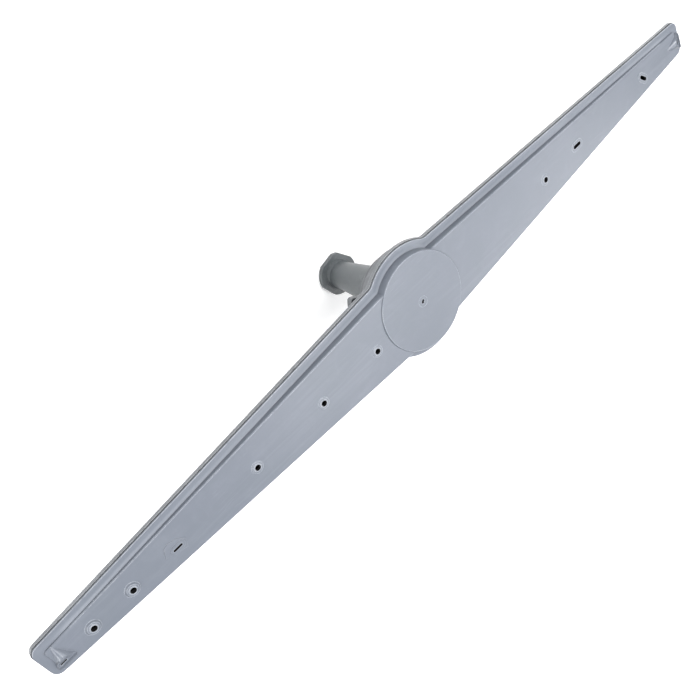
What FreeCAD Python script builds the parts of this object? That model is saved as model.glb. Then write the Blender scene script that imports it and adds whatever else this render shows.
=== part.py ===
import FreeCAD, Part

# Dishwasher spray arm: two welded shells that turn on a flanged feed stem. Millimetres.
# The origin is the centre of the stem's end face, on the axis that the arm turns about.
# +Z runs up the stem to the nozzle face, +X along the far arm, +Y towards the wide welding flange.
import os
import re
import Sketcher
from FreeCAD import Placement, Rotation, Vector

UP = Vector(0, 0, 1)
ALONG = Vector(1, 0, 0)
ACROSS = Vector(0, 1, 0)

# Driving sizes. Front is the side of the wide flange, back the other one.
# Root sizes hold at the axis and tip sizes at the arm's end; between them they run straight.
SIZES = {
    # plan of the arm
    "arm_reach": 240.0,
    "hub_radius": 26.6,
    "root_front": 20.85,
    "root_back": 21.5,
    "tip_front": 6.75,
    "tip_back": 7.65,
    "wide_flange": 4.45,
    "narrow_flange": 0.4,
    "tip_flange": 4.1,
    "flange_corner": 4.0,
    "channel_corner": 1.8,
    "hub_blend": 5.0,
    # heights of the arm, measured from the stem's end face or from the face named
    "total_height": 76.0,
    "disc_rise": 5.2,
    "channel_rise_root": 4.9,
    "channel_rise_tip": 0.9,
    "upper_flange": 1.3,
    "lower_flange": 2.05,
    "rim_outset": 0.45,
    "trough_depth_root": 5.2,
    "trough_depth_tip": 2.0,
    "cup_depth": 18.2,
    # walls and edges of the two shells
    "wall": 1.8,
    "face_skin": 1.3,
    "disc_skin": 2.0,
    "cup_floor": 2.2,
    "soft_edge": 0.4,
    "disc_edge": 0.35,
    "cup_edge": 1.2,
    # bearing in the hub
    "neck_bore": 15.6,
    "neck_wall": 2.8,
    "neck_length": 4.6,
    "head_clearance": 0.05,
    "end_play": 0.3,
    "head_thickness": 3.3,
    "washer_thickness": 1.0,
    "washer_gap": 0.2,
    "spigot_radius": 12.2,
    "spigot_height": 3.5,
    "spigot_gap": 0.4,
    # feed stem
    "journal_radius": 11.7,
    "journal_length": 5.0,
    "stem_foot_radius": 7.6,
    "stem_flange_radius": 12.3,
    "stem_flange_thickness": 2.8,
    "stem_flange_flat": 11.4,
    "stem_flange_edge": 0.35,
    "foot_ring_radius": 8.7,
    "foot_ring_height": 0.6,
    "foot_ring_slope": 1.1,
    "inlet_radius": 5.4,
    "inlet_length": 12.0,
    "stem_wall": 1.9,
    # collar that holds the stem in the hub
    "collar_wall": 3.2,
    "collar_lip": 2.0,
    "collar_fit": 0.1,
    "collar_gap": 0.3,
    "collar_edge": 0.6,
    "tab_reach": 31.5,
    "tab_width": 8.5,
    "tab_thickness": 3.6,
    "tab_corner": 1.5,
    "tab_angle": 151.0,
    # nozzles
    "low_boss_radius": 2.95,
    "low_boss_height": 0.3,
    "low_boss_draft": 0.9,
    "high_boss_radius": 2.95,
    "high_boss_height": 0.9,
    "high_boss_draft": 1.25,
    "boss_foot": 0.5,
    "jet_ring_radius": 2.0,
    "jet_ring_draft": 0.3,
    "jet_ring_rise": 0.25,
    "jet_radius": 1.5,
    "fine_slot_length": 5.0,
    "fine_slot_width": 1.1,
    "wide_slot_length": 6.0,
    "wide_slot_width": 2.1,
    "slot_rim": 1.6,
    "slot_rim_height": 0.3,
    "fan_plate_rise": 0.3,
    # hoods: cones that lie along the face, cut open by a slanted mouth
    "hood_back": 7.5,
    "hood_length": 12.2,
    "hood_tip_radius": 0.2,
    "hood_mouth_radius": 5.2,
    "hood_sink": 0.3,
    "hood_pitch": 6.5,
    "hood_height": 2.0,
    "hood_mouth_tilt": 24.4,
    "hood_slot_forward": 3.0,
    "hood_slot_length": 3.3,
    "hood_slot_width": 1.0,
    "hood_jet_tilt": 56.0,
    "hood_jet_lead": 2.0,
    # moulding gate in the middle of the disc
    "gate_ring_radius": 2.9,
    "gate_ring_depth": 0.12,
    "gate_radius": 0.8,
    "gate_depth": 1.0,
}

# Places of the nozzles: measured from the hub's axis or from the arm's end, distance along the arm,
# offset across it. The outer ones keep their distance from the end when the arm's length changes.
PLACES = {
    "near_1": ("hub", 35.5, -2.4),
    "near_2": ("hub", 73.4, -2.1),
    "near_3": ("hub", 117.5, -1.7),
    "near_4": ("end", 72.3, -2.3),
    "near_5": ("end", 46.4, -1.5),
    "near_6": ("end", 24.4, -1.3),
    "near_7": ("end", 7.8, 0.0),
    "far_1": ("hub", 103.5, -1.8),
    "far_2": ("hub", 133.6, -0.7),
    "far_3": ("end", 40.2, -1.0),
    "far_4": ("end", 7.0, 0.0),
}
for place, (start, along, across) in PLACES.items():
    SIZES["%s_from_%s" % (place, start)] = along
    SIZES[place + "_across"] = across

# Round jets: name, place, kind of boss.
JETS = [
    ("jet_near_1", "near_1", "low_boss"),
    ("jet_near_2", "near_2", "low_boss"),
    ("jet_near_3", "near_3", "low_boss"),
    ("jet_near_5", "near_5", "high_boss"),
    ("jet_near_6", "near_6", "high_boss"),
    ("jet_far_1", "far_1", "low_boss"),
]
# Slots: name, place, kind, turn in plan in degrees.
SLOTS = [
    ("slot_near_4", "near_4", "fine_slot", 0.0),
    ("slot_far_2", "far_2", "wide_slot", 0.0),
    ("slot_far_3", "far_3", "wide_slot", -44.0),
]
# Hoods: name, place of the middle of the mouth's upper edge.
HOODS = [
    ("hood_near", "near_7"),
    ("hood_far", "far_4"),
]
SIZES["near_7_slot_shift"] = -1.2
SIZES["far_4_slot_shift"] = -0.2

# The slanted plate round the fine slot: corners along and across from the slot's middle.
FAN_PLATE = [(-7.2, -0.1), (3.6, -4.0), (5.3, 0.6), (2.2, 4.2), (-2.6, 5.6), (-5.2, 4.4)]

# Directions of the shallow key flats on the stem's end flange, in degrees from +X.
KEY_FLATS = [37.0, 101.0, 205.0]

doc = FreeCAD.newDocument("spray_arm")
sheet = doc.addObject("Spreadsheet::Sheet", "Sizes")
for row, (alias, number) in enumerate(SIZES.items(), start=1):
    sheet.set("A%d" % row, alias.replace("_", " "))
    sheet.set("B%d" % row, str(number))
    sheet.setAlias("B%d" % row, alias)
doc.recompute()


# Expressions over the sheet
def cells(text):
    """Turn each alias in an expression into a reference to its cell."""
    return re.sub(r"[a-z]\w*", lambda word: ("Sizes." if word.group() in SIZES else "") + word.group(), text)


def value(text):
    """The number that an expression comes to."""
    result = sheet.evalExpression(cells(text))
    return float(getattr(result, "Value", result))


def bind(item, sizes):
    """Tie properties of an object to expressions; sizes maps each property to its expression."""
    for name, text in sizes.items():
        item.setExpression(name, cells(text))
    return item


def taper(root, tip, distance):
    """A size that runs straight from root at the axis to tip at the arm's end."""
    return "(%s + (%s - %s) * (%s) / arm_reach)" % (root, tip, root, distance)


FLANGE_TOP = "(total_height - disc_rise)"
SEAM = "(total_height - disc_rise - upper_flange)"
RIM_BOTTOM = "(total_height - disc_rise - upper_flange - lower_flange)"
CUP_BOTTOM = "(total_height - cup_depth)"
HEAD_TOP = "(total_height - cup_depth - end_play)"
HEAD_BOTTOM = "(total_height - cup_depth - end_play - head_thickness)"
LIP_TOP = "(total_height - cup_depth - 2 * end_play - head_thickness - washer_thickness)"
JOURNAL_BOTTOM = "(total_height - cup_depth - end_play - head_thickness - journal_length)"
CHANNEL_END = "(arm_reach - tip_flange)"
COLLAR_BORE = "(neck_bore + neck_wall + collar_fit)"


# Bodies and sketches
def new_body(label):
    body = doc.addObject("PartDesign::Body", label)
    body.Label = label
    body.Placement = Placement()
    return body


def attach(body, item, role, offset, turn=None):
    """Lay an item on one of the body's origin planes; offset gives expressions for x, y and z."""
    plane = next(f for f in body.Origin.OriginFeatures if f.Role == role)
    item.AttachmentSupport = [(plane, "")]
    item.MapMode = "FlatFace"
    if turn:
        item.AttachmentOffset = Placement(Vector(0, 0, 0), Rotation(*turn))
    names = ("AttachmentOffset.Base.x", "AttachmentOffset.Base.y", "AttachmentOffset.Base.z")
    return bind(item, dict(zip(names, offset)))


def new_sketch(body, name, role="XY_Plane", level="0", at=("0", "0"), turn=None):
    sketch = body.newObject("Sketcher::SketchObject", name)
    return attach(body, sketch, role, (at[0], at[1], level), turn)


def tie(sketch, kind, *elements_and_text):
    """Add a dimension whose value is an expression."""
    elements = elements_and_text[:-1]
    text = elements_and_text[-1]
    number = sketch.addConstraint(Sketcher.Constraint(kind, *elements, value(text)))
    sketch.setExpression("Constraints[%d]" % number, cells(text))


def pin(sketch, edge, vertex, at):
    """Dimension a vertex of an edge from the sketch's origin."""
    tie(sketch, "DistanceX", -1, 1, edge, vertex, at[0])
    tie(sketch, "DistanceY", -1, 1, edge, vertex, at[1])


def polygon(sketch, corners):
    """A closed outline of straight sides through corners, each a pair of expressions."""
    points = [Vector(value(across), value(up), 0) for across, up in corners]
    count = len(points)
    for i in range(count):
        sketch.addGeometry(Part.LineSegment(points[i], points[(i + 1) % count]))
    for i in range(count):
        sketch.addConstraint(Sketcher.Constraint("Coincident", i, 2, (i + 1) % count, 1))
    for i, corner in enumerate(corners):
        pin(sketch, i, 1, corner)
    return sketch


def circle(sketch, radius, at=("0", "0")):
    centre = Vector(value(at[0]), value(at[1]), 0)
    edge = sketch.addGeometry(Part.Circle(centre, UP, value(radius)))
    pin(sketch, edge, 3, at)
    tie(sketch, "Radius", edge, radius)
    return sketch


def stadium(sketch, length, width, crosswise=False):
    """A slot outline centred on the sketch's origin, along its x axis or crosswise along its y axis."""
    def lay(along, aside):
        return ("-(%s)" % aside, along) if crosswise else (along, aside)

    reach = "(%s - %s) / 2" % (length, width)
    half = "%s / 2" % width
    tip = "%s + %s" % (reach, half)
    corners = [("-" + reach, "-" + half), (reach, "-" + half), (reach, half), ("-" + reach, half)]
    points = [Vector(*map(value, lay(*corner)), 0) for corner in corners]
    near_tip = Vector(*map(value, lay("-(%s)" % tip, "0")), 0)
    far_tip = Vector(*map(value, lay(tip, "0")), 0)
    sketch.addGeometry(Part.LineSegment(points[0], points[1]))
    sketch.addGeometry(Part.Arc(points[1], far_tip, points[2]))
    sketch.addGeometry(Part.LineSegment(points[2], points[3]))
    sketch.addGeometry(Part.Arc(points[3], near_tip, points[0]))
    for edge in range(4):
        sketch.addConstraint(Sketcher.Constraint("Coincident", edge, 2, (edge + 1) % 4, 1))
    for edge, side, first in ((1, "", "-"), (3, "-", "")):
        pin(sketch, edge, 3, lay(side + reach, "0"))
        pin(sketch, edge, 1, lay(side + reach, first + half))
        if crosswise:
            tie(sketch, "DistanceY", -1, 1, edge, 2, side + reach)
        else:
            tie(sketch, "DistanceX", -1, 1, edge, 2, side + reach)
    return sketch


# Features
def pad(body, name, sketch, length):
    item = body.newObject("PartDesign::Pad", name)
    item.Profile = sketch
    return bind(item, {"Length": length})


def pocket(body, name, sketch, length, upward=False):
    """Cut a sketch's outline downwards from its level, or upwards."""
    item = body.newObject("PartDesign::Pocket", name)
    item.Profile = sketch
    item.Reversed = upward
    return bind(item, {"Length": length})


def revolve(body, name, sketch):
    item = body.newObject("PartDesign::Revolution", name)
    item.Profile = sketch
    item.ReferenceAxis = (sketch, ["V_Axis"])
    item.Angle = 360
    return item


def dress_edges(body, name, kind, size, choose):
    """Fillet or chamfer the edges of the body so far that choose picks."""
    doc.recompute()
    base = body.Tip
    picked = ["Edge%d" % i for i, edge in enumerate(base.Shape.Edges, start=1) if choose(edge)]
    item = body.newObject("PartDesign::" + kind, name)
    item.Base = (base, picked)
    return bind(item, {"Radius" if kind == "Fillet" else "Size": size})


def round_edges(body, name, radius, choose):
    return dress_edges(body, name, "Fillet", radius, choose)


def bevel_edges(body, name, size, choose):
    return dress_edges(body, name, "Chamfer", size, choose)


# Choosing edges by where they lie
def ends(edge):
    return [vertex.Point for vertex in edge.Vertexes]


def upright(edge):
    points = ends(edge)
    return len(points) == 2 and (points[0] - points[1]).cross(UP).Length < 1e-6


def at_level(edge, level):
    return all(abs(point.z - level) < 1e-6 for point in ends(edge))


def inner_distance(edge):
    return min(abs(point.x) for point in ends(edge))


def on_hub(edge):
    """True for an edge whose ends both lie on the round hub's wall."""
    return all(abs(point.cross(UP).Length - value("hub_radius")) < 1e-3 for point in ends(edge))


# Outlines shared by the two shells
def outline_plate(body, name, level, thickness, outset):
    """The flat flange: two tapering arms and the round hub, their corners rounded and blended."""
    front = ("root_front + wide_flange + %s" % outset, "tip_front + wide_flange + %s" % outset)
    back = ("-(root_back + narrow_flange + %s)" % outset, "-(tip_back + narrow_flange + %s)" % outset)
    end = "arm_reach + %s" % outset
    arms = polygon(new_sketch(body, name + "_arms", level=level), [
        ("-(%s)" % end, front[1]), ("0", front[0]), (end, front[1]),
        (end, back[1]), ("0", back[0]), ("-(%s)" % end, back[1]),
    ])
    pad(body, name + "_arm_plate", arms, thickness)
    hub = circle(new_sketch(body, name + "_hub", level=level), "hub_radius + wide_flange + %s" % outset)
    pad(body, name + "_hub_plate", hub, thickness)
    half = value("arm_reach / 2")
    ring = value("hub_radius + wide_flange + %s" % outset)
    round_edges(body, name + "_corners", "flange_corner + %s" % outset,
                lambda edge: upright(edge) and inner_distance(edge) > half)
    round_edges(body, name + "_blends", "hub_blend",
                lambda edge: upright(edge) and 1 < inner_distance(edge) < half
                and abs(ends(edge)[0].cross(UP).Length - ring) < 1e-3)


def channel(body, name, kind, side, inset, end, levels):
    """One arm's channel or its hollow, a tapering wedge from the axis to end.

    levels gives the (low, high) levels at a distance from the axis."""
    item = body.newObject("PartDesign::" + kind, name)
    sizes = {"Ymin": "0", "Ymax": end}
    for tag, distance in (("", "0"), ("2", end)):
        front = taper("root_front", "tip_front", distance) + " - %s" % inset
        back = taper("root_back", "tip_back", distance) + " - %s" % inset
        right, left = (front, back) if side < 0 else (back, front)
        low, high = levels(distance)
        sizes.update({"X%smin" % tag: "-(%s)" % left, "X%smax" % tag: right,
                      "Z%smin" % tag: low, "Z%smax" % tag: high})
    attach(body, item, "XY_Plane", ("0", "0", "0"), turn=(UP, -90 * side))
    return bind(item, sizes)


def face_level(distance):
    """Level of the nozzle face at a distance from the axis."""
    return "(%s + %s)" % (FLANGE_TOP, taper("channel_rise_root", "channel_rise_tip", distance))


def trough_level(distance):
    """Level of the trough's underside at a distance from the axis."""
    return "(%s - %s)" % (RIM_BOTTOM, taper("trough_depth_root", "trough_depth_tip", distance))


def round_channel(body, name, foot, face):
    """Round one shell's channels: first the corners at the arm's end, then the edges of the face."""
    start = value("hub_radius / 2")
    foot_level = value(foot)

    def off_foot(edge):
        return all(abs(point.z - foot_level) > 1e-6 for point in ends(edge))

    def corner(edge):
        levels = [point.z for point in ends(edge)]
        return upright(edge) and inner_distance(edge) > start and not on_plate(edge) \
            and min(abs(level - foot_level) for level in levels) < 1e-6

    def on_plate(edge):
        return abs(max(abs(point.x) for point in ends(edge)) - value(CHANNEL_END)) > 1e-3

    round_edges(body, name + "_corners", "channel_corner", corner)
    end_levels = [value(face("0")), value(face(CHANNEL_END))]

    def face_edge(edge):
        low, high = min(end_levels), max(end_levels)
        points = ends(edge)
        if upright(edge) or not off_foot(edge) or inner_distance(edge) < start:
            return False
        return all(low - 0.2 < point.z < high + 0.2 for point in points) and not on_hub(edge)

    bevel_edges(body, name + "_edges", "soft_edge", face_edge)


def make_upper_shell():
    """The nozzle face: raised channels, round hub drum, welding flange and nozzles."""
    body = new_body("upper_shell")
    outline_plate(body, "upper_flange_plate", SEAM, "upper_flange", "0")
    drum = circle(new_sketch(body, "drum_outline", level=SEAM), "hub_radius")
    pad(body, "drum", drum, "total_height - %s" % SEAM)
    for tag, side in (("near", -1), ("far", 1)):
        channel(body, "upper_channel_" + tag, "AdditiveWedge", side, "0", CHANNEL_END,
                lambda distance: (SEAM, face_level(distance)))
    round_channel(body, "upper_channel", FLANGE_TOP, face_level)
    top = value("total_height")
    bevel_edges(body, "drum_edge", "disc_edge", lambda edge: at_level(edge, top))
    add_fan_plate(body)
    for jet in JETS:
        add_boss(body, *jet)
    for slot in SLOTS:
        add_rim(body, *slot)
    for hood in HOODS:
        add_hood(body, *hood)
    for tag, side in (("near", -1), ("far", 1)):
        channel(body, "upper_hollow_" + tag, "SubtractiveWedge", side, "wall", CHANNEL_END + " - wall",
                lambda distance: (SEAM, face_level(distance) + " - face_skin"))
    hollow = circle(new_sketch(body, "drum_hollow_outline", level=SEAM), "hub_radius - wall")
    pocket(body, "drum_hollow", hollow, "total_height - disc_skin - %s" % SEAM, upward=True)
    for jet in JETS:
        cut_jet(body, *jet)
    for slot in SLOTS:
        cut_slot(body, *slot)
    for hood in HOODS:
        cut_hood(body, *hood)
    seam = new_sketch(body, "seam_outline", level=SEAM)
    polygon(seam, [("-arm_reach", "-hub_radius"), ("arm_reach", "-hub_radius"),
                   ("arm_reach", "hub_radius"), ("-arm_reach", "hub_radius")])
    pocket(body, "seam_face", seam, "2 * hood_mouth_radius")
    ring = circle(new_sketch(body, "gate_ring_outline", level="total_height"), "gate_ring_radius")
    pocket(body, "gate_ring", ring, "gate_ring_depth")
    gate = circle(new_sketch(body, "gate_outline", level="total_height"), "gate_radius")
    pocket(body, "gate_mark", gate, "gate_depth")
    return body


def on_near_arm(key):
    return key.startswith("near")


def nozzle_distance(key):
    """Expression for a nozzle's distance from the axis."""
    if key + "_from_hub" in SIZES:
        return key + "_from_hub"
    return "(arm_reach - %s_from_end)" % key


def nozzle_place(key):
    """Expressions for a nozzle's place: along, across and the level of the face there."""
    distance = nozzle_distance(key)
    along = "-" + distance if on_near_arm(key) else distance
    return along, key + "_across", face_level(distance)


def add_boss(body, name, key, kind):
    """A round boss with drafted sides, and the thin ring that stands on it round the jet."""
    x, y, level = nozzle_place(key)
    height = kind + "_height"
    steps = (("_boss", kind + "_radius", kind + "_draft", height),
             ("_ring", "jet_ring_radius", "jet_ring_draft", height + " + jet_ring_rise"))
    for tag, radius, draft, rise in steps:
        step = body.newObject("PartDesign::AdditiveCone", name + tag)
        bind(step, {"Radius1": "%s + %s" % (radius, draft), "Radius2": radius,
                    "Height": "boss_foot + %s" % rise})
        attach(body, step, "XY_Plane", (x, y, level + " - boss_foot"))


def add_rim(body, name, key, kind, turn):
    """The flat raised rim of a slot."""
    x, y, level = nozzle_place(key)
    sketch = new_sketch(body, name + "_rim_outline", level=level + " - boss_foot", at=(x, y), turn=(UP, turn))
    stadium(sketch, "(%s_length + 2 * slot_rim)" % kind, "(%s_width + 2 * slot_rim)" % kind)
    rise = "slot_rim_height + fan_plate_rise" if kind == "fine_slot" else "slot_rim_height"
    pad(body, name + "_rim", sketch, "boss_foot + %s" % rise)


def add_fan_plate(body):
    """The low slanted plate that the fine slot's rim stands on."""
    x, y, level = nozzle_place("near_4")
    sketch = new_sketch(body, "fan_plate_outline", level=level + " - boss_foot", at=(x, y))
    polygon(sketch, [(str(along), str(across)) for along, across in FAN_PLATE])
    pad(body, "fan_plate", sketch, "boss_foot + fan_plate_rise")


def cut_jet(body, name, key, kind):
    """The jet's hole, cut down through the skin into the channel."""
    x, y, level = nozzle_place(key)
    top = "%s + %s_height + jet_ring_rise" % (level, kind)
    hole = circle(new_sketch(body, name + "_outline", level=top, at=(x, y)), "jet_radius")
    pocket(body, name, hole, "%s_height + jet_ring_rise + 2 * wall" % kind)


def cut_slot(body, name, key, kind, turn):
    """The slot in its rim, cut down through the skin into the channel."""
    x, y, level = nozzle_place(key)
    slot = new_sketch(body, name + "_outline", level=level + " + 2 * boss_foot", at=(x, y), turn=(UP, turn))
    stadium(slot, kind + "_length", kind + "_width")
    pocket(body, name, slot, "2 * boss_foot + 2 * wall")


def hood_point(key, forward, sideways, above):
    """A point by its distances from the middle of the mouth's upper edge.

    The near hood opens to the back, the far one to the arm's end."""
    x, y, level = nozzle_place(key)
    above = "%s + %s" % (level, above)
    if on_near_arm(key):
        return "%s + %s" % (x, sideways), "%s - (%s)" % (y, forward), above
    return "%s + %s" % (x, forward), "%s + %s" % (y, sideways), above


def lean(item, key, angle):
    """Lean an item's axis from upright towards the side its hood opens to."""
    item.AttachmentOffset = Placement(item.AttachmentOffset.Base,
                                      Rotation(ALONG if on_near_arm(key) else ACROSS, value(angle)))
    return bind(item, {"AttachmentOffset.Rotation.Angle": angle})


def add_hood(body, name, key):
    """A cone that lies along the face, cut open by the slanted mouth."""
    hood = body.newObject("PartDesign::AdditiveCone", name)
    bind(hood, {"Radius1": "hood_tip_radius", "Radius2": "hood_mouth_radius", "Height": "hood_length"})
    attach(body, hood, "XY_Plane", hood_point(key, "-hood_back", "0", "-hood_sink"))
    lean(hood, key, "90 + hood_pitch")
    x, y, z = hood_point(key, "0", "0", "hood_height")
    mouth = new_sketch(body, name + "_mouth_outline", level=z, at=(x, y))
    lean(mouth, key, "hood_mouth_tilt")
    back = "hood_height / 2"
    front = "hood_height / sin(hood_mouth_tilt)"
    if on_near_arm(key):
        low, high = ("-hood_mouth_radius", "-" + front), ("hood_mouth_radius", back)
    else:
        low, high = ("-" + back, "-hood_mouth_radius"), (front, "hood_mouth_radius")
    polygon(mouth, [low, (high[0], low[1]), high, (low[0], high[1])])
    pocket(body, name + "_mouth", mouth, "hood_mouth_radius", upward=True)


def cut_hood(body, name, key):
    """The slot in the hood's mouth, cut back and down into the channel."""
    forward = "hood_slot_forward + hood_jet_lead * sin(hood_jet_tilt)"
    above = "hood_height - hood_slot_forward * tan(hood_mouth_tilt) + hood_jet_lead * cos(hood_jet_tilt)"
    x, y, z = hood_point(key, forward, key + "_slot_shift", above)
    sketch = new_sketch(body, name + "_slot_outline", level=z, at=(x, y))
    lean(sketch, key, "hood_jet_tilt")
    stadium(sketch, "hood_slot_length", "hood_slot_width", crosswise=not on_near_arm(key))
    pocket(body, name + "_slot", sketch, "hood_jet_lead + (hood_height + wall) / cos(hood_jet_tilt)")


def make_lower_shell():
    """The back of the arm: troughs, hub cup, bearing neck and the rim of the weld."""
    body = new_body("lower_shell")
    outline_plate(body, "lower_rim", RIM_BOTTOM, "lower_flange", "rim_outset")
    cup = circle(new_sketch(body, "cup_outline", level=CUP_BOTTOM), "hub_radius")
    pad(body, "cup", cup, "%s - %s" % (SEAM, CUP_BOTTOM))
    for tag, side in (("near", -1), ("far", 1)):
        channel(body, "trough_" + tag, "AdditiveWedge", side, "0", CHANNEL_END,
                lambda distance: (trough_level(distance), SEAM))
    round_channel(body, "trough", RIM_BOTTOM, trough_level)
    bottom = value(CUP_BOTTOM)
    bevel_edges(body, "cup_edge_bevel", "cup_edge", lambda edge: at_level(edge, bottom))
    neck = new_sketch(body, "neck_outline", level="%s - neck_length" % CUP_BOTTOM)
    circle(neck, "neck_bore + neck_wall")
    pad(body, "neck", neck, "neck_length + cup_floor / 2")
    for tag, side in (("near", -1), ("far", 1)):
        channel(body, "trough_hollow_" + tag, "SubtractiveWedge", side, "wall", CHANNEL_END + " - wall",
                lambda distance: (trough_level(distance) + " + wall", SEAM))
    hollow = circle(new_sketch(body, "cup_hollow_outline", level=SEAM), "hub_radius - wall")
    pocket(body, "cup_hollow", hollow, "%s - %s - cup_floor" % (SEAM, CUP_BOTTOM))
    bore = circle(new_sketch(body, "neck_bore_outline", level=CUP_BOTTOM), "neck_bore")
    pocket(body, "neck_bore_cut", bore, "neck_length")
    passage = circle(new_sketch(body, "passage_outline", level=CUP_BOTTOM), "spigot_radius + spigot_gap")
    pocket(body, "passage", passage, "cup_floor", upward=True)
    return body


def make_feed_stem():
    """The tapering feed pipe: keyed end flange, journal, bearing head and spigot into the hub."""
    body = new_body("feed_stem")
    head = "neck_bore - head_clearance"
    profile = polygon(new_sketch(body, "stem_profile", role="XZ_Plane"), [
        ("inlet_radius", "0"),
        ("stem_flange_radius", "0"),
        ("stem_flange_radius", "stem_flange_thickness - stem_flange_edge"),
        ("stem_flange_radius - stem_flange_edge", "stem_flange_thickness"),
        ("foot_ring_radius", "stem_flange_thickness"),
        ("foot_ring_radius", "stem_flange_thickness + foot_ring_height"),
        ("stem_foot_radius", "stem_flange_thickness + foot_ring_height + foot_ring_slope"),
        ("journal_radius", JOURNAL_BOTTOM),
        ("journal_radius", HEAD_BOTTOM),
        (head, HEAD_BOTTOM),
        (head, HEAD_TOP),
        ("spigot_radius", HEAD_TOP),
        ("spigot_radius", HEAD_TOP + " + spigot_height"),
        ("journal_radius - stem_wall", HEAD_TOP + " + spigot_height"),
        ("journal_radius - stem_wall", JOURNAL_BOTTOM),
        ("inlet_radius", "inlet_length"),
    ])
    revolve(body, "stem_turning", profile)
    for number, direction in enumerate(KEY_FLATS, start=1):
        flat = new_sketch(body, "key_flat_outline_%d" % number, level="stem_flange_thickness",
                          turn=(UP, direction))
        polygon(flat, [
            ("stem_flange_flat", "-stem_flange_radius"), ("2 * stem_flange_radius", "-stem_flange_radius"),
            ("2 * stem_flange_radius", "stem_flange_radius"), ("stem_flange_flat", "stem_flange_radius"),
        ])
        pocket(body, "key_flat_%d" % number, flat, "stem_flange_thickness")
    return body


def make_thrust_washer():
    """The flat slide ring between the stem's head and the collar's lip."""
    body = new_body("thrust_washer")
    ring = new_sketch(body, "washer_outline", level=LIP_TOP)
    circle(ring, "neck_bore - washer_gap")
    circle(ring, "journal_radius + washer_gap")
    pad(body, "washer", ring, "washer_thickness")
    return body


def make_retaining_collar():
    """The cap ring on the neck: its lip carries the stem's head, and two finger tabs turn it."""
    body = new_body("retaining_collar")
    outer = "%s + collar_wall" % COLLAR_BORE
    top = "%s - collar_gap" % CUP_BOTTOM
    bottom = "%s - collar_lip" % LIP_TOP
    profile = polygon(new_sketch(body, "collar_profile", role="XZ_Plane"), [
        ("journal_radius + collar_gap", bottom),
        (outer + " - collar_edge", bottom),
        (outer + " - 0.3 * collar_edge", bottom + " + 0.3 * collar_edge"),
        (outer, bottom + " + collar_edge"),
        (outer, top),
        (COLLAR_BORE, top),
        (COLLAR_BORE, LIP_TOP),
        ("journal_radius + collar_gap", LIP_TOP),
    ])
    revolve(body, "collar_turning", profile)
    tab = new_sketch(body, "tab_outline", level="%s - tab_thickness" % top, turn=(UP, value("tab_angle")))
    polygon(tab, [
        (COLLAR_BORE + " + collar_wall / 2", "-tab_width / 2"), ("tab_reach", "-tab_width / 2"),
        ("tab_reach", "tab_width / 2"), (COLLAR_BORE + " + collar_wall / 2", "tab_width / 2"),
    ])
    bind(tab, {"AttachmentOffset.Rotation.Angle": "tab_angle"})
    tab_pad = pad(body, "tab", tab, "tab_thickness")
    pair = body.newObject("PartDesign::PolarPattern", "tab_pair")
    pair.Originals = [tab_pad]
    axis = next(f for f in body.Origin.OriginFeatures if f.Role == "Z_Axis")
    pair.Axis = (axis, [""])
    pair.Angle = 360
    pair.Occurrences = 2
    body.Tip = pair
    reach = value("tab_reach")
    round_edges(body, "tab_corners", "tab_corner",
                lambda edge: upright(edge) and ends(edge)[0].cross(UP).Length > reach)
    return body


def check_document():
    """Stop at any object that failed to compute."""
    doc.recompute()
    failed = [item.Name for item in doc.Objects if {"Invalid", "Error"} & set(item.State)]
    if failed:
        raise RuntimeError("failed objects: " + ", ".join(failed))


def main():
    makers = (make_upper_shell, make_lower_shell, make_feed_stem, make_thrust_washer, make_retaining_collar)
    bodies = [make() for make in makers]
    check_document()
    for body in bodies:
        if body.Shape.isNull() or not body.Shape.isValid():
            raise RuntimeError("bad shape: " + body.Label)
    os.makedirs("parts", exist_ok=True)
    for body in bodies:
        body.Shape.exportStep("parts/%s.step" % body.Label)
        print(body.Label, "solids", len(body.Shape.Solids), "volume", round(body.Shape.Volume, 1))


main()
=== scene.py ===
import math

import bpy
from mathutils import Matrix, Vector


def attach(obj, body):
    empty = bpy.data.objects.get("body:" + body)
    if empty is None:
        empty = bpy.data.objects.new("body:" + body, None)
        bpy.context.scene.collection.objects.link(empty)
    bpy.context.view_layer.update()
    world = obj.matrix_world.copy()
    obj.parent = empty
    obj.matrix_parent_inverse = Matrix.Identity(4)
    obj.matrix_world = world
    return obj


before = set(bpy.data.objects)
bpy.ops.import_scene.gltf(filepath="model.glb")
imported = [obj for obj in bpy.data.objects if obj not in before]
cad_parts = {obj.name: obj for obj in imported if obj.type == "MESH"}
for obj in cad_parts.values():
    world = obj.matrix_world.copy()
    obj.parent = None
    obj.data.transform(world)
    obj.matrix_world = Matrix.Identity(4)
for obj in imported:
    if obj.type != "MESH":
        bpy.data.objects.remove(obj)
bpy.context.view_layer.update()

MM = 0.001

# The photograph's viewpoint, solved from the arm's outline and jets: metres and degrees.
CAMERA_PLACE = (-0.16369, 0.23542, 0.37292)
CAMERA_AIM = (-0.04582, 0.00685, 0.07080)
CAMERA_ROLL = 113.906
CAMERA_LENS = 41.617
CAMERA_SENSOR = 36.0
CAMERA_NEAR = 0.01

# Soft boxes round the arm: name, azimuth and elevation in degrees, watts.
SOFTBOXES = (
    ("low_key_box", 150, 12, 20.0),
    ("near_end_box", 180, 30, 55.0),
    ("far_back_box", 315, 30, 24.0),
    ("far_end_box", 0, 60, 15.0),
    ("front_box", 60, 60, 90.0),
    ("near_front_box", 120, 60, 15.0),
    ("back_box", 300, 60, 30.0),
    ("top_box", 0, 88, 50.0),
)
BOX_DISTANCE = 3.2
BOX_SIZE = 1.20
BOX_AIM = (0.0, 0.0, 0.06)
AIR_LIGHT = 0.02
AIR_TINT = (0.97, 0.98, 1.0, 1.0)

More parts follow.
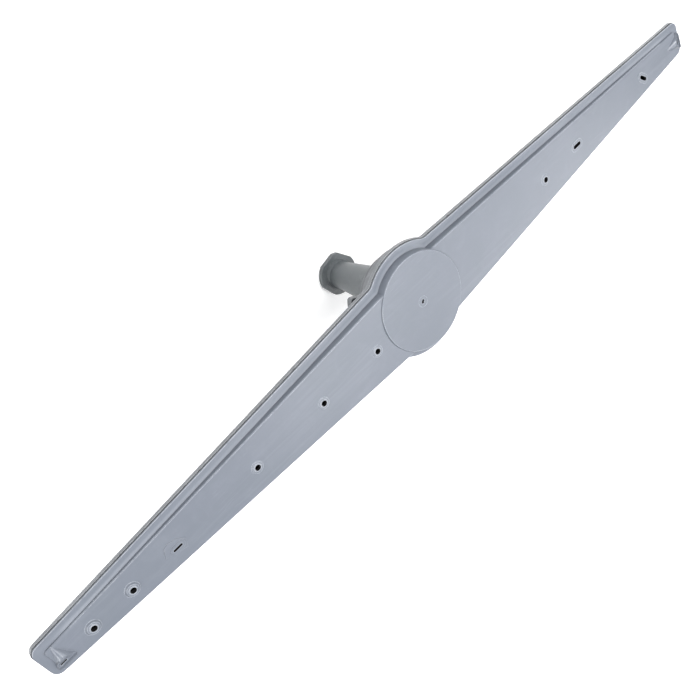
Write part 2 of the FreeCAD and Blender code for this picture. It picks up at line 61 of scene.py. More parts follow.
# The floor: a pale light table.
FLOOR_HALF = 2.2
FLOOR_GLOW = 0.30
FLOOR_TINTS = ((0.90, 0.90, 0.90), (0.93, 0.93, 0.93))
FLOOR_ROUGHNESS = 0.9
FLOOR_SHEEN = 0.1

# The arm's own taper: half widths of the raised channel and heights of its face and of the
# trough's outside, each at the axis and per metre along the arm.
FACE_HALF_WIDTH = (20.85 * MM, -0.0588)
FACE_LEVEL = (75.7 * MM, -0.01667)
TROUGH_LEVEL = (62.25 * MM, 0.01333)
FLANGE_LEVEL = 70.8 * MM
SEAM_LEVEL = 69.5 * MM
DISC_LEVEL = 75.7 * MM
HOLLOW_END = 234.0 * MM
HOOD_START = 221.0 * MM
DRUM_RADIUS = 26.6 * MM
FAN_PLATE = (-167.7 * MM, -2.3 * MM, 0.0)
FAN_PLATE_RADIUS = 8.5 * MM
# Share of the painted edge highlight and wear kept inside the fan plate's circle.
FAN_PLATE_HIGHLIGHT_SHARE = 0.25
FACE_SKIN = 0.25 * MM
TROUGH_SKIN = 1.0 * MM

# Throats of the nozzles: place in the part's frame, turn in plan, tilt of the mouth from
# level, half length of the straight middle and radius of the round ends, in millimetres
# and degrees.
# Each throat is painted near black as painted shade, and its lip gets a painted highlight.
THROATS = (
    ((-35.5, -2.4, 76.0), 0.0, 0.0, 0.0, 1.50),
    ((-73.4, -2.1, 75.0), 0.0, 0.0, 0.0, 1.50),
    ((-117.5, -1.7, 74.0), 0.0, 0.0, 0.0, 1.50),
    ((-167.7, -2.3, 73.0), 0.0, 0.0, 1.95, 0.55),
    ((-193.6, -1.5, 73.0), 0.0, 0.0, 0.0, 1.50),
    ((-215.6, -1.3, 73.0), 0.0, 0.0, 0.0, 1.50),
    ((103.5, -1.8, 74.0), 0.0, 0.0, 0.0, 1.50),
    ((133.6, -0.7, 74.0), 0.0, 0.0, 1.95, 1.05),
    ((199.8, -1.0, 73.0), -44.0, 0.0, 1.95, 1.05),
    ((0.0, 0.0, 76.0), 50.0, 0.0, 0.45, 0.68),
    ((-233.4, -3.0, 72.47), 0.0, 24.4, 1.15, 0.52),
    ((236.0, -0.2, 72.46), 90.0, 24.4, 1.15, 0.52),
)
# Longer than any throat is deep, in metres.
THROAT_DEPTH = 1.0
# Width of the painted highlight on the lip round each throat.
LIP_WIDTH = 0.45 * MM

# Hood mouths: middle of the mouth's upper edge, the turn in degrees from the near hood,
# which opens to the back, and the shift to one side, in millimetres.
HOODS = {
    "near_hood_mouth": ((-232.2, 0.0, 73.83), 0.0, -1.2),
    "far_hood_mouth": ((233.0, 0.0, 73.82), 90.0, -0.2),
}
MOUTH_TILT = math.radians(24.4)
MOUTH_STEPS = 64
MOUTH_HALF_WIDTH = 3.1 * MM
MOUTH_HALF_HEIGHT = 2.45 * MM
MOUTH_CENTRE = 3.0 * MM
SLOT_CENTRE = 3.29 * MM
SLOT_STRAIGHT = 1.15 * MM
SLOT_RADIUS = 0.50 * MM
SLOT_HALF_HEIGHT = 0.55 * MM
# The mouth from its rim inwards: share of the way from slot to rim, rise in millimetres.
MOUTH_PROFILE = ((1.0, -0.30), (1.0, 0.05), (0.95, 0.20), (0.88, 0.25), (0.80, 0.22),
                 (0.74, 0.10), (0.10, 0.10), (0.0, 0.08), (0.0, -0.25))

# Moulded plastic in common: refraction, sheen, the mould's texture and the marks' effect
# on it. The gloss changes are added to the roughness where the mark is full.
PLASTIC_IOR = 1.49
PLASTIC_SHEEN = 0.385
GRAIN_BUMP = 0.35
FINE_GRAIN_SHARE = 0.35
SCUFF_CUT = -1.6
SPECK_SHARE = 0.6
BEVEL_SAMPLES = 6
FILM_GLOSS = 0.35
WEAR_GLOSS = -0.20
SCUFF_GLOSS = 0.25
MOTTLE_GLOSS = -0.015
# Painted shade: the near-black colour laid inside the hollow arm and in the nozzles' throats.
PAINTED_SHADE_INSIDE = (0.006, 0.006, 0.007)
# Painted shade: the dark band laid along the seam between the shells and on the flange's side
# wall.
SEAM_SHADE = (0.030, 0.031, 0.034)
SEAM_SHADE_SHARE = 0.85

# Scuff marks: turn in radians, stretch along and across each set of hairlines.
HAIRLINES = ((0.35, 90.0, 2600.0), (-0.55, 70.0, 2100.0), (1.75, 120.0, 3000.0))
HAIRLINE_HEIGHT = 400.0

# Finishes of the moulded parts: linear colours, gloss and how much of each mark the
# surface carries.
# The rubbed colour lays wear together with a painted highlight on edges and lips; the chalk
# colour serves the marks and the painted light of the flange strip.
FINISHES = {
    "nozzle_face_plastic": {
        "nodes": ["upper_shell"],
        "inside": "under the face",
        "throats": True,
        "seam_width": 0.75 * MM,
        "lip_light": 0.20,
        "strip_light": 0.24,
        "body": (0.148, 0.163, 0.193),
        "shade": (0.143, 0.159, 0.187),
        "chalk_and_painted_light": (0.431, 0.454, 0.493),
        "rubbed_and_highlight": (0.620, 0.650, 0.700),
        "roughness": 0.30,
        "edge_radius": 0.22 * MM,
        "edge_mark_width": 0.60 * MM,
        "edge_light": 0.46,
        "flow": 0.06,
        "scuff": 0.07,
        "film": 0.03,
        "grain": 0.024 * MM,
    },
    "back_shell_plastic": {
        "nodes": ["lower_shell"],
        "inside": "in the trough",
        "seam_width": 0.08 * MM,
        "body": (0.129, 0.137, 0.149),
        "shade": (0.118, 0.126, 0.138),
        "chalk_and_painted_light": (0.400, 0.415, 0.430),
        "rubbed_and_highlight": (0.400, 0.415, 0.430),
        "roughness": 0.32,
        "edge_radius": 0.25 * MM,
        "edge_mark_width": 0.50 * MM,
        "edge_light": 0.75,
        "flow": 0.16,
        "scuff": 0.16,
        "film": 0.14,
        "grain": 0.028 * MM,
    },
    "collar_plastic": {
        "nodes": ["retaining_collar"],
        "body": (0.108, 0.115, 0.125),
        "shade": (0.091, 0.098, 0.107),
        "chalk_and_painted_light": (0.231, 0.243, 0.254),
        "rubbed_and_highlight": (0.231, 0.243, 0.254),
        "roughness": 0.40,
        "edge_radius": 0.30 * MM,
        "edge_mark_width": 0.40 * MM,
        "edge_light": 0.30,
        "flow": 0.18,
        "scuff": 0.30,
        "film": 0.30,
        "grain": 0.025 * MM,
    },
    "washer_plastic": {
        "nodes": ["thrust_washer"],
        "body": (0.400, 0.394, 0.370),
        "shade": (0.339, 0.331, 0.308),
        "chalk_and_painted_light": (0.462, 0.456, 0.431),
        "rubbed_and_highlight": (0.520, 0.514, 0.490),
        "roughness": 0.33,
        "edge_radius": 0.12 * MM,
        "edge_mark_width": 0.20 * MM,
        "edge_light": 0.20,
        "flow": 0.10,
        "scuff": 0.30,
        "film": 0.25,
        "grain": 0.015 * MM,
    },
    "stem_plastic": {
        "nodes": ["feed_stem"],
        "body": (0.105, 0.116, 0.122),
        "shade": (0.095, 0.106, 0.112),
        "chalk_and_painted_light": (0.223, 0.237, 0.246),
        "rubbed_and_highlight": (0.250, 0.265, 0.275),
        "roughness": 0.38,
        "edge_radius": 0.30 * MM,
        "edge_mark_width": 0.40 * MM,
        "edge_light": 0.35,
        "flow": 0.22,
        "scuff": 0.30,
        "film": 0.30,
        "grain": 0.022 * MM,
    },
}

# Spacing of the nodes in the shader editor.
NODE_COLUMN = 200
NODE_ROW = 180


def empty_effect(name, inputs, outputs):
    """A shader node group with named inputs and their start values, named outputs and
    their kinds, and nothing inside yet."""
    effect = bpy.data.node_groups.new(name, "ShaderNodeTree")
    for label, start in inputs.items():
        socket = effect.interface.new_socket(name=label, in_out="INPUT",
                                             socket_type="NodeSocketFloat")
        socket.default_value = start
    for label, kind in outputs.items():
        effect.interface.new_socket(name=label, in_out="OUTPUT",
                                    socket_type="NodeSocket" + kind)
    entry = effect.nodes.new("NodeGroupInput")
    leave = effect.nodes.new("NodeGroupOutput")
    return effect, entry.outputs, leave.inputs


def lay_out(tree):
    """Sets the nodes in columns, each to the left of all that it feeds."""
    column = {node.name: 0 for node in tree.nodes}
    moved = True
    while moved:
        moved = False
        for link in tree.links:
            wanted = column[link.to_node.name] + 1
            if column[link.from_node.name] < wanted:
                column[link.from_node.name] = wanted
                moved = True
    filled = {}
    for node in tree.nodes:
        step = column[node.name]
        row = filled.get(step, 0)
        node.location = (-NODE_COLUMN * step, -NODE_ROW * row)
        filled[step] = row + 1


def put(tree, kind, **settings):
    node = tree.nodes.new(kind)
    for key, setting in settings.items():
        setattr(node, key, setting)
    return node


def wire(tree, source, target):
    tree.links.new(source, target)


def reckon(tree, operation, first, second, clamp=False):
    """One sum on two values; each is a socket or a plain number."""
    node = put(tree, "ShaderNodeMath", operation=operation, use_clamp=clamp)
    for slot, given in zip(node.inputs, (first, second)):
        if isinstance(given, (int, float)):
            slot.default_value = given
        else:
            wire(tree, given, slot)
    return node.outputs[0]


def size_of(tree, value):
    return reckon(tree, "ABSOLUTE", value, 0.0)


def rest_of(tree, mask):
    """What a mask leaves out."""
    return reckon(tree, "SUBTRACT", 1.0, mask)


def both(tree, first, second):
    """Where two masks meet."""
    return reckon(tree, "MULTIPLY", first, second)


def either(tree, first, second):
    return reckon(tree, "MAXIMUM", first, second)


def strengthened(tree, mask, strength):
    return reckon(tree, "MULTIPLY", mask, strength, clamp=True)


def window(tree, value, low, high):
    """Maps low..high to 0..1 with soft ends."""
    node = put(tree, "ShaderNodeMapRange", interpolation_type="SMOOTHSTEP")
    wire(tree, value, node.inputs["Value"])
    node.inputs["From Min"].default_value = low
    node.inputs["From Max"].default_value = high
    return node.outputs["Result"]


def on_the_part(tree, stretch=(1.0, 1.0, 1.0), turn=0.0):
    """Coordinates fixed to the part, in metres, stretched and turned about Z."""
    spot = put(tree, "ShaderNodeTexCoord")
    lay = put(tree, "ShaderNodeMapping")
    lay.inputs["Scale"].default_value = stretch
    lay.inputs["Rotation"].default_value = (0.0, 0.0, turn)
    wire(tree, spot.outputs["Object"], lay.inputs["Vector"])
    return lay.outputs["Vector"]


def part_axes(tree):
    """The three coordinates fixed to the part."""
    axes = put(tree, "ShaderNodeSeparateXYZ")
    wire(tree, on_the_part(tree), axes.inputs["Vector"])
    return axes.outputs


def cloud(tree, vector, scale, detail, rough, warp=0.0):
    node = put(tree, "ShaderNodeTexNoise")
    wire(tree, vector, node.inputs["Vector"])
    node.inputs["Scale"].default_value = scale
    node.inputs["Detail"].default_value = detail
    node.inputs["Roughness"].default_value = rough
    node.inputs["Distortion"].default_value = warp
    return node.outputs["Fac"]


def vector_sum(tree, operation, first, second):
    """One sum on two vectors; the second is a socket or plain numbers."""
    node = put(tree, "ShaderNodeVectorMath", operation=operation)
    wire(tree, first, node.inputs[0])
    if isinstance(second, tuple):
        node.inputs[1].default_value = second
    elif second is not None:
        wire(tree, second, node.inputs[1])
    return node.outputs


def make_satin_grain():
    """Fine spark-eroded mould texture over a faint orange peel."""
    effect, given, result = empty_effect("satin grain", {"Coarseness": 1.0},
                                         {"Height": "Float", "Mottle": "Float"})
    sized = put(effect, "ShaderNodeVectorMath", operation="SCALE")
    wire(effect, on_the_part(effect), sized.inputs[0])
    wire(effect, given["Coarseness"], sized.inputs["Scale"])
    spot = sized.outputs[0]
    fine = cloud(effect, spot, scale=2600.0, detail=3.0, rough=0.6)
    peel = cloud(effect, spot, scale=320.0, detail=2.0, rough=0.5)
    broad = cloud(effect, spot, scale=38.0, detail=3.0, rough=0.55, warp=0.6)
    weighted = reckon(effect, "MULTIPLY", fine, FINE_GRAIN_SHARE)
    wire(effect, reckon(effect, "ADD", weighted, peel), result["Height"])
    wire(effect, window(effect, broad, low=0.32, high=0.68), result["Mottle"])
    return effect


def make_worn_and_highlit_edges():
    """Edges rubbed paler by handling and given a painted highlight, and the rounding that
    catches the light.
    """
    effect, given, result = empty_effect(
        "worn and highlit edges", {"Radius": 0.4 * MM, "Wear width": 0.6 * MM, "Strength": 0.5},
        {"Wear and highlight": "Float", "Rounded": "Vector"})
    soften = put(effect, "ShaderNodeBevel", samples=BEVEL_SAMPLES)
    wire(effect, given["Radius"], soften.inputs["Radius"])
    reach = put(effect, "ShaderNodeBevel", samples=BEVEL_SAMPLES)
    wire(effect, given["Wear width"], reach.inputs["Radius"])
    face = put(effect, "ShaderNodeNewGeometry")
    likeness = vector_sum(effect, "DOT_PRODUCT", reach.outputs["Normal"],
                          face.outputs["Normal"])["Value"]
    edge = window(effect, rest_of(effect, likeness), low=0.002, high=0.09)
    ragged = cloud(effect, on_the_part(effect), scale=420.0, detail=4.0, rough=0.65)
    patch = window(effect, ragged, low=0.24, high=0.52)
    wire(effect, strengthened(effect, both(effect, edge, patch), given["Strength"]),
         result["Wear and highlight"])
    wire(effect, soften.outputs["Normal"], result["Rounded"])
    return effect


def make_flow_marks():
    """Pale streaks that the melt left as it ran from the hub to the tips."""
    effect, given, result = empty_effect("flow marks", {"Strength": 0.3},
                                         {"Streak": "Float"})
    streak = cloud(effect, on_the_part(effect, stretch=(9.0, 150.0, 90.0)), scale=1.0,
                   detail=4.0, rough=0.62, warp=1.4)
    drift = cloud(effect, on_the_part(effect, stretch=(1.0, 1.6, 1.0)), scale=16.0,
                  detail=2.0, rough=0.5, warp=0.8)
    lines = window(effect, streak, low=0.42, high=0.66)
    where = window(effect, drift, low=0.36, high=0.66)
    wire(effect, strengthened(effect, both(effect, lines, where), given["Strength"]),
         result["Streak"])
    return effect


def make_scuff_marks():
    """Short hairline scratches in patches, laid at three angles."""
    effect, given, result = empty_effect("scuff marks", {"Strength": 0.3},
                                         {"Scuff": "Float"})
    lines = 0.0
    for turn, length, width in HAIRLINES:
        laid = on_the_part(effect, stretch=(length, width, HAIRLINE_HEIGHT), turn=turn)
        strand = cloud(effect, laid, scale=1.0, detail=1.0, rough=0.4)
        lines = either(effect, lines, window(effect, strand, low=0.66, high=0.76))
    patch = cloud(effect, on_the_part(effect), scale=55.0, detail=3.0, rough=0.6, warp=0.5)
    where = window(effect, patch, low=0.46, high=0.66)
    wire(effect, strengthened(effect, both(effect, lines, where), given["Strength"]),
         result["Scuff"])
    return effect


def make_water_film():
    """Thin chalky film that hard water dries into: soft blots and small specks."""
    effect, given, result = empty_effect("water film", {"Strength": 0.3},
                                         {"Film": "Float"})
    spot = on_the_part(effect)
    soft = cloud(effect, spot, scale=85.0, detail=5.0, rough=0.62, warp=0.9)
    blot = window(effect, soft, low=0.48, high=0.74)
    small = cloud(effect, spot, scale=900.0, detail=2.0, rough=0.5)
    speck = window(effect, small, low=0.66, high=0.78)
    thin_specks = reckon(effect, "MULTIPLY", speck, SPECK_SHARE)
    film = reckon(effect, "ADD", blot, thin_specks)
    wire(effect, strengthened(effect, film, given["Strength"]), result["Film"])
    return effect


def along_taper(effect, distance, taper):
    """A size of the arm at a distance from the axis."""
    root, slope = taper
    return reckon(effect, "ADD", reckon(effect, "MULTIPLY", distance, slope), root)


def make_painted_inner_shade(name, level, skin, from_above):
    """Marks what lies inside the hollow arm, where only the nozzle holes let light in, for
    the painted shade laid there.
    """
    effect, given, result = empty_effect(name, {"Skin": skin}, {"Inside": "Float"})
    axes = part_axes(effect)
    distance = size_of(effect, axes["X"])
    half = along_taper(effect, distance, FACE_HALF_WIDTH)
    inward = reckon(effect, "SUBTRACT", half, size_of(effect, axes["Y"]))
    beside = window(effect, inward, low=0.8 * MM, high=1.3 * MM)
    short = reckon(effect, "SUBTRACT", HOLLOW_END, distance)
    before_end = window(effect, short, low=0.2 * MM, high=0.6 * MM)
    surface = along_taper(effect, distance, level)
    outer, inner = (surface, axes["Z"]) if from_above else (axes["Z"], surface)
    depth = reckon(effect, "SUBTRACT", outer, inner)
    past_skin = reckon(effect, "SUBTRACT", depth, given["Skin"])
    deep = window(effect, past_skin, low=0.0, high=0.35 * MM)
    within = both(effect, beside, before_end)
    wire(effect, both(effect, within, deep), result["Inside"])
    return effect


def make_nozzle_throats():
    """Masks for the nozzles' throats, painted dark as painted shade, and for the lips round
    them, which get a painted highlight.
    """
    effect, given, result = empty_effect("nozzle throats", {"Lip width": LIP_WIDTH},
                                         {"Throat": "Float", "Lip": "Float"})
    spot = put(effect, "ShaderNodeTexCoord")
    nearest = 1.0
    for place, turn, tilt, straight, radius in THROATS:
        from_throat = put(effect, "ShaderNodeMapping", vector_type="TEXTURE")
        from_throat.inputs["Location"].default_value = [MM * v for v in place]
        from_throat.inputs["Rotation"].default_value = (math.radians(tilt), 0.0,
                                                        math.radians(turn))
        wire(effect, spot.outputs["Object"], from_throat.inputs["Vector"])
        mirrored = vector_sum(effect, "ABSOLUTE", from_throat.outputs["Vector"], None)[0]
        beyond = vector_sum(effect, "SUBTRACT", mirrored,
                            (straight * MM, 0.0, THROAT_DEPTH))[0]
        outside = vector_sum(effect, "MAXIMUM", beyond, (0.0, 0.0, 0.0))[0]
        reach = vector_sum(effect, "LENGTH", outside, None)["Value"]
        gap = reckon(effect, "SUBTRACT", reach, radius * MM)
        nearest = reckon(effect, "MINIMUM", gap, nearest)
    clear = window(effect, nearest, low=0.03 * MM, high=0.09 * MM)
    wire(effect, rest_of(effect, clear), result["Throat"])
    share = reckon(effect, "DIVIDE", nearest, given["Lip width"])
    lip = rest_of(effect, window(effect, share, low=0.4, high=1.0))
    wire(effect, both(effect, lip, clear), result["Lip"])
    return effect


def make_seam_shade():
    """Painted shade in a band along the weld between the two shells."""
    effect, given, result = empty_effect("seam shade", {"Width": 0.4 * MM},
                                         {"Painted shade": "Float"})
    height = reckon(effect, "SUBTRACT", part_axes(effect)["Z"], SEAM_LEVEL)
    away = reckon(effect, "DIVIDE", size_of(effect, height), given["Width"])
    wire(effect, rest_of(effect, window(effect, away, low=0.35, high=1.0)),
         result["Painted shade"])
    return effect


def make_raised_edges():
    """Keeps the wear and painted highlight to edges that stand out and away from the feet of
    walls, and marks the strip of the flange beside the channel, painted paler to take up the
    shadow that the channel's wall casts on it."""
    effect, given, result = empty_effect("raised edges", {"Foot width": 1.8 * MM},
                                         {"Raised": "Float", "Strip": "Float"})
    axes = part_axes(effect)
    distance = size_of(effect, axes["X"])
    half = along_taper(effect, distance, FACE_HALF_WIDTH)
    from_channel = reckon(effect, "SUBTRACT", size_of(effect, axes["Y"]), half)
    flat = put(effect, "ShaderNodeCombineXYZ")
    wire(effect, axes["X"], flat.inputs["X"])
    wire(effect, axes["Y"], flat.inputs["Y"])
    radius = vector_sum(effect, "LENGTH", flat.outputs["Vector"], None)["Value"]
    from_drum = reckon(effect, "SUBTRACT", radius, DRUM_RADIUS)
    outward = reckon(effect, "MINIMUM", from_channel, from_drum)

    past_foot = reckon(effect, "SUBTRACT", outward, given["Foot width"])
    rim = window(effect, past_foot, low=0.0, high=0.6 * MM)

    fades = rest_of(effect, window(effect, outward, low=0.5 * MM, high=2.6 * MM))
    starts = window(effect, outward, low=-0.15 * MM, high=0.10 * MM)
    off_level = size_of(effect, reckon(effect, "SUBTRACT", axes["Z"], FLANGE_LEVEL))
    on_flange = rest_of(effect, window(effect, off_level, low=0.10 * MM, high=0.35 * MM))
    before_tip = rest_of(effect, window(effect, distance, low=HOOD_START, high=HOLLOW_END))
    strip = both(effect, both(effect, both(effect, fades, starts), on_flange), before_tip)
    wire(effect, strip, result["Strip"])

    top = window(effect, axes["Z"], low=FLANGE_LEVEL + 0.35 * MM,
                 high=FLANGE_LEVEL + 0.55 * MM)
    clear_of_drum = window(effect, size_of(effect, from_drum), low=0.8 * MM, high=1.2 * MM)
    disc_top = window(effect, axes["Z"], low=DISC_LEVEL, high=DISC_LEVEL + 0.1 * MM)
    upper = both(effect, top, either(effect, clear_of_drum, disc_top))
    near_hood = window(effect, distance, low=HOOD_START, high=HOOD_START + 1.0 * MM)
    upper = both(effect, upper, rest_of(effect, near_hood))
    from_fan = vector_sum(effect, "DISTANCE", flat.outputs["Vector"], FAN_PLATE)["Value"]
    beyond_fan = window(effect, from_fan, low=FAN_PLATE_RADIUS,
                        high=FAN_PLATE_RADIUS + 1.5 * MM)
    upper = both(effect, upper, either(effect, beyond_fan, FAN_PLATE_HIGHLIGHT_SHARE))
    wire(effect, either(effect, rim, upper), result["Raised"])
    return effect


def place_effect(tree, effect, **amounts):
    """Sets an effect in a material; an underscore stands for a space in a socket's name."""
    node = put(tree, "ShaderNodeGroup")
    node.node_tree = effect
    for label, amount in amounts.items():
        node.inputs[label.replace("_", " ")].default_value = amount
    return node.outputs


def blend_colours(tree, share, first, second):
    """Mixes two colours by a mask; each colour is a socket or a plain colour."""
    node = put(tree, "ShaderNodeMix", data_type="RGBA")
    wire(tree, share, node.inputs["Factor"])
    colour_slots = [slot for slot in node.inputs if slot.type == "RGBA"]
    for slot, given in zip(colour_slots, (first, second)):
        if isinstance(given, tuple):
            slot.default_value = (*given, 1.0)
        else:
            wire(tree, given, slot)
    return next(slot for slot in node.outputs if slot.type == "RGBA")


def moulded_plastic(name, finish, effects):
    """Satin moulded plastic with grain, flow streaks, water film, scuffs and worn edges; the
    edges and lips carry painted highlight, the seam, throats and hollow painted shade, the
    flange strip painted light.
    """
    material = bpy.data.materials.new(name)
    material.use_nodes = True
    tree = material.node_tree
    tree.nodes.clear()
    grain = place_effect(tree, effects["grain"], Coarseness=1.0)
    edges = place_effect(tree, effects["edges"], Radius=finish["edge_radius"],
                         Wear_width=finish["edge_mark_width"], Strength=finish["edge_light"])
    streak = place_effect(tree, effects["flow"], Strength=finish["flow"])["Streak"]
    scuff = place_effect(tree, effects["scuff"], Strength=finish["scuff"])["Scuff"]
    film = place_effect(tree, effects["film"], Strength=finish["film"])["Film"]

    colour = blend_colours(tree, grain["Mottle"], finish["shade"], finish["body"])
    # Painted shade along the seam between the shells.
    if "seam_width" in finish:
        seam = place_effect(tree, effects["seam"], Width=finish["seam_width"])
        seam_shade = reckon(tree, "MULTIPLY", seam["Painted shade"], SEAM_SHADE_SHARE)
        colour = blend_colours(tree, seam_shade, colour, SEAM_SHADE)
    wear_and_highlight = edges["Wear and highlight"]
    if "throats" in finish:
        throats = place_effect(tree, effects["throats"])
        raised = place_effect(tree, effects["raised"])
        # The lips round the throats get a painted highlight.
        lip = reckon(tree, "MULTIPLY", throats["Lip"], finish["lip_light"])
        wear_and_highlight = either(tree, both(tree, wear_and_highlight, raised["Raised"]), lip)
        # Painted light: the flange strip beside the channel is painted paler against the
        # wall's shadow.
        painted_light_strip = reckon(tree, "MULTIPLY", raised["Strip"], finish["strip_light"])
        colour = blend_colours(tree, painted_light_strip, colour, finish["chalk_and_painted_light"])
    for mark in (streak, film, scuff):
        colour = blend_colours(tree, mark, colour, finish["chalk_and_painted_light"])
    # Wear and painted highlight on the edges and lips.
    colour = blend_colours(tree, wear_and_highlight, colour, finish["rubbed_and_highlight"])

    gloss = finish["roughness"]
    for mark, change in ((film, FILM_GLOSS), (wear_and_highlight, WEAR_GLOSS), (scuff, SCUFF_GLOSS),
                         (grain["Mottle"], MOTTLE_GLOSS)):
        gloss = reckon(tree, "ADD", gloss, reckon(tree, "MULTIPLY", mark, change), clamp=True)

    # Painted shade: the hollow's inside and the throats are painted near black.
    if "inside" in finish:
        inner_shade = place_effect(tree, effects[finish["inside"]])["Inside"]
        if "throats" in finish:
            inner_shade = either(tree, inner_shade, throats["Throat"])
        colour = blend_colours(tree, inner_shade, colour, PAINTED_SHADE_INSIDE)
        gloss = either(tree, gloss, inner_shade)

    cut = reckon(tree, "MULTIPLY", scuff, SCUFF_CUT)
    bump = put(tree, "ShaderNodeBump")
    bump.inputs["Strength"].default_value = GRAIN_BUMP
    bump.inputs["Distance"].default_value = finish["grain"]
    wire(tree, reckon(tree, "ADD", grain["Height"], cut), bump.inputs["Height"])
    wire(tree, edges["Rounded"], bump.inputs["Normal"])

    shader = put(tree, "ShaderNodeBsdfPrincipled")
    shader.inputs["IOR"].default_value = PLASTIC_IOR
    shader.inputs["Specular IOR Level"].default_value = PLASTIC_SHEEN
    wire(tree, colour, shader.inputs["Base Color"])
    wire(tree, gloss, shader.inputs["Roughness"])
    wire(tree, bump.outputs["Normal"], shader.inputs["Normal"])
    surface = put(tree, "ShaderNodeOutputMaterial")
    wire(tree, shader.outputs["BSDF"], surface.inputs["Surface"])
    lay_out(tree)
    return material


def dress_mouldings():
    """Makes the effects and gives each solid its plastic; returns the plastics by name."""
    effects = {
        "grain": make_satin_grain(),
        "edges": make_worn_and_highlit_edges(),
        "flow": make_flow_marks(),
        "scuff": make_scuff_marks(),
        "film": make_water_film(),
        "throats": make_nozzle_throats(),
        "seam": make_seam_shade(),
        "raised": make_raised_edges(),
        "under the face": make_painted_inner_shade("under the face", FACE_LEVEL, FACE_SKIN,
                                            from_above=True),
        "in the trough": make_painted_inner_shade("in the trough", TROUGH_LEVEL, TROUGH_SKIN,
                                           from_above=False),
    }
    for effect in effects.values():
        lay_out(effect)
    plastics = {}
    for name, finish in FINISHES.items():
        plastics[name] = moulded_plastic(name, finish, effects)
        for node in finish["nodes"]:
            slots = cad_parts[node].data.materials
            slots.clear()
            slots.append(plastics[name])
    return plastics


def mouth_rings(place, turn, shift):
    """Closed rings of points from the rim of a hood's mouth down into its slot."""
    spin = Matrix.Rotation(math.radians(turn), 3, "Z")
    side = spin @ Vector((1, 0, 0))
    down = spin @ Vector((0, -math.cos(MOUTH_TILT), -math.sin(MOUTH_TILT)))
    out = spin @ Vector((0, -math.sin(MOUTH_TILT), math.cos(MOUTH_TILT)))
    middle = Vector(place) * MM + side * shift * MM
    centre = middle + down * MOUTH_CENTRE
    slot_centre = middle + down * SLOT_CENTRE
    rings = []
    for share, rise in MOUTH_PROFILE:
        ring = []
        for step in range(MOUTH_STEPS):
            angle = 2 * math.pi * step / MOUTH_STEPS
            across = math.cos(angle)
            along = math.sin(angle)
            rim = centre + side * MOUTH_HALF_WIDTH * across + down * MOUTH_HALF_HEIGHT * along
            if share > 0:
                straight = SLOT_STRAIGHT * across
            else:
                straight = math.copysign(SLOT_STRAIGHT, across)
            edge = slot_centre + side * (straight + SLOT_RADIUS * across) \
                + down * SLOT_HALF_HEIGHT * along
            ring.append(edge.lerp(rim, share) + out * rise * MM)
        rings.append(ring)
    return rings


def hood_mouth(name, place, turn, shift, plastic):
    """A raised oval lip round a recessed plate with the slot, on the hood's slanted mouth."""
    rings = mouth_rings(place, turn, shift)
    points = [point for ring in rings for point in ring]
    faces = []
    for row in range(len(rings) - 1):
        for step in range(MOUTH_STEPS):
            after = (step + 1) % MOUTH_STEPS
            faces.append((row * MOUTH_STEPS + step, row * MOUTH_STEPS + after,
                          (row + 1) * MOUTH_STEPS + after, (row + 1) * MOUTH_STEPS + step))
    last = (len(rings) - 1) * MOUTH_STEPS
    faces.append(tuple(range(last, last + MOUTH_STEPS)))
    faces.append(tuple(reversed(range(MOUTH_STEPS))))
    sheet = bpy.data.meshes.new(name)
    sheet.from_pydata(points, [], faces)
    for face in sheet.polygons:
        face.use_smooth = len(face.vertices) == 4
    piece = bpy.data.objects.new(name, sheet)
    bpy.context.scene.collection.objects.link(piece)
    sheet.materials.append(plastic)
    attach(piece, "arm")


def shape_hoods(plastic):
    for name, (place, turn, shift) in HOODS.items():
        hood_mouth(name, place, turn, shift, plastic)


def lay_floor():
    """A plain pale light table; its slight glow takes up the arm's shadow."""
    sheet = bpy.data.meshes.new("studio_floor")
    sheet.from_pydata([(-FLOOR_HALF, -FLOOR_HALF, 0), (FLOOR_HALF, -FLOOR_HALF, 0),
                       (FLOOR_HALF, FLOOR_HALF, 0), (-FLOOR_HALF, FLOOR_HALF, 0)],
                      [], [(0, 1, 2, 3)])
    floor = bpy.data.objects.new("studio_floor", sheet)
    bpy.context.scene.collection.objects.link(floor)
    paint = bpy.data.materials.new("pale_studio_paint")
    paint.use_nodes = True
    tree = paint.node_tree
    shader = tree.nodes["Principled BSDF"]
    shader.inputs["Roughness"].default_value = FLOOR_ROUGHNESS
    shader.inputs["Specular IOR Level"].default_value = FLOOR_SHEEN
    spread = cloud(tree, on_the_part(tree), scale=3.0, detail=3.0, rough=0.5)
    tint = blend_colours(tree, spread, *FLOOR_TINTS)
    wire(tree, tint, shader.inputs["Base Color"])
    wire(tree, tint, shader.inputs["Emission Color"])
    shader.inputs["Emission Strength"].default_value = FLOOR_GLOW
    lay_out(tree)
    sheet.materials.append(paint)


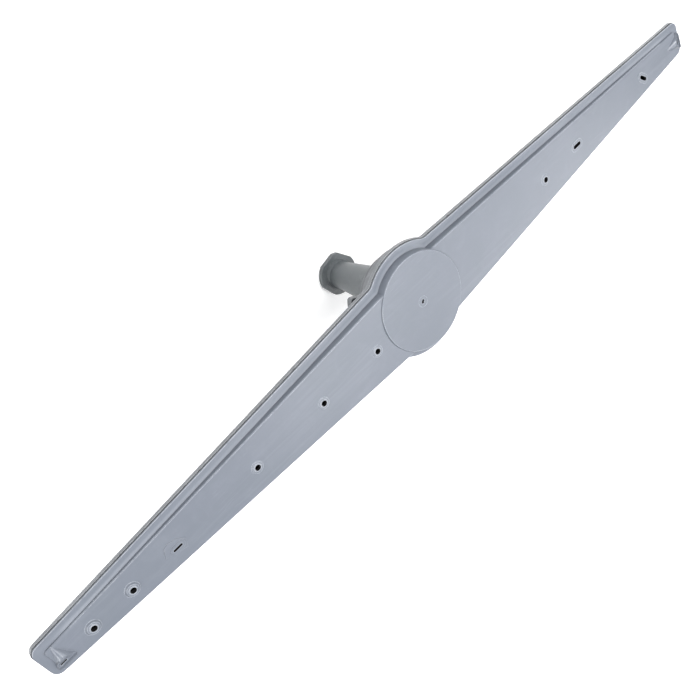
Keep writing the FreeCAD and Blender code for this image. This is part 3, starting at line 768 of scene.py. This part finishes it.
def hang_softbox(name, place, aim, power):
    lamp = bpy.data.lights.new(name, "AREA")
    lamp.shape = "SQUARE"
    lamp.size = BOX_SIZE
    lamp.energy = power
    box = bpy.data.objects.new(name, lamp)
    box.location = place
    box.rotation_euler = (aim - place).to_track_quat("-Z", "Y").to_euler()
    bpy.context.scene.collection.objects.link(box)


def light_studio():
    """A tent of soft boxes round the arm, all turned to the hub, before a pale wall."""
    aim = Vector(BOX_AIM)
    for name, azimuth, elevation, power in SOFTBOXES:
        turn = math.radians(azimuth)
        lift = math.radians(elevation)
        away = Vector((math.cos(lift) * math.cos(turn), math.cos(lift) * math.sin(turn),
                       math.sin(lift)))
        hang_softbox(name, aim + BOX_DISTANCE * away, aim, power)
    world = bpy.data.worlds.new("studio_air")
    world.use_nodes = True
    tree = world.node_tree
    air = tree.nodes["Background"]
    air.inputs["Color"].default_value = AIR_TINT
    air.inputs["Strength"].default_value = AIR_LIGHT
    wall = put(tree, "ShaderNodeBackground")
    wall.inputs["Color"].default_value = AIR_TINT
    ray = put(tree, "ShaderNodeLightPath")
    seen = put(tree, "ShaderNodeMixShader")
    wire(tree, ray.outputs["Is Camera Ray"], seen.inputs[0])
    wire(tree, air.outputs[0], seen.inputs[1])
    wire(tree, wall.outputs[0], seen.inputs[2])
    wire(tree, seen.outputs[0], tree.nodes["World Output"].inputs["Surface"])
    lay_out(tree)
    bpy.context.scene.world = world
    bpy.context.scene.view_settings.view_transform = "Standard"


def set_camera():
    """The photograph's viewpoint: above the near arm's side, turned so the arm runs
    from the lower left to the upper right."""
    place = Vector(CAMERA_PLACE)
    lens = bpy.data.cameras.new("photo_camera")
    lens.sensor_width = CAMERA_SENSOR
    lens.lens = CAMERA_LENS
    lens.clip_start = CAMERA_NEAR
    camera = bpy.data.objects.new("photo_camera", lens)
    level = (Vector(CAMERA_AIM) - place).to_track_quat("-Z", "Y").to_matrix().to_4x4()
    roll = Matrix.Rotation(math.radians(CAMERA_ROLL), 4, "Z")
    camera.matrix_world = Matrix.Translation(place) @ level @ roll
    bpy.context.scene.collection.objects.link(camera)
    bpy.context.scene.camera = camera


set_camera()
lay_floor()
light_studio()
plastics = dress_mouldings()
shape_hoods(plastics["nozzle_face_plastic"])
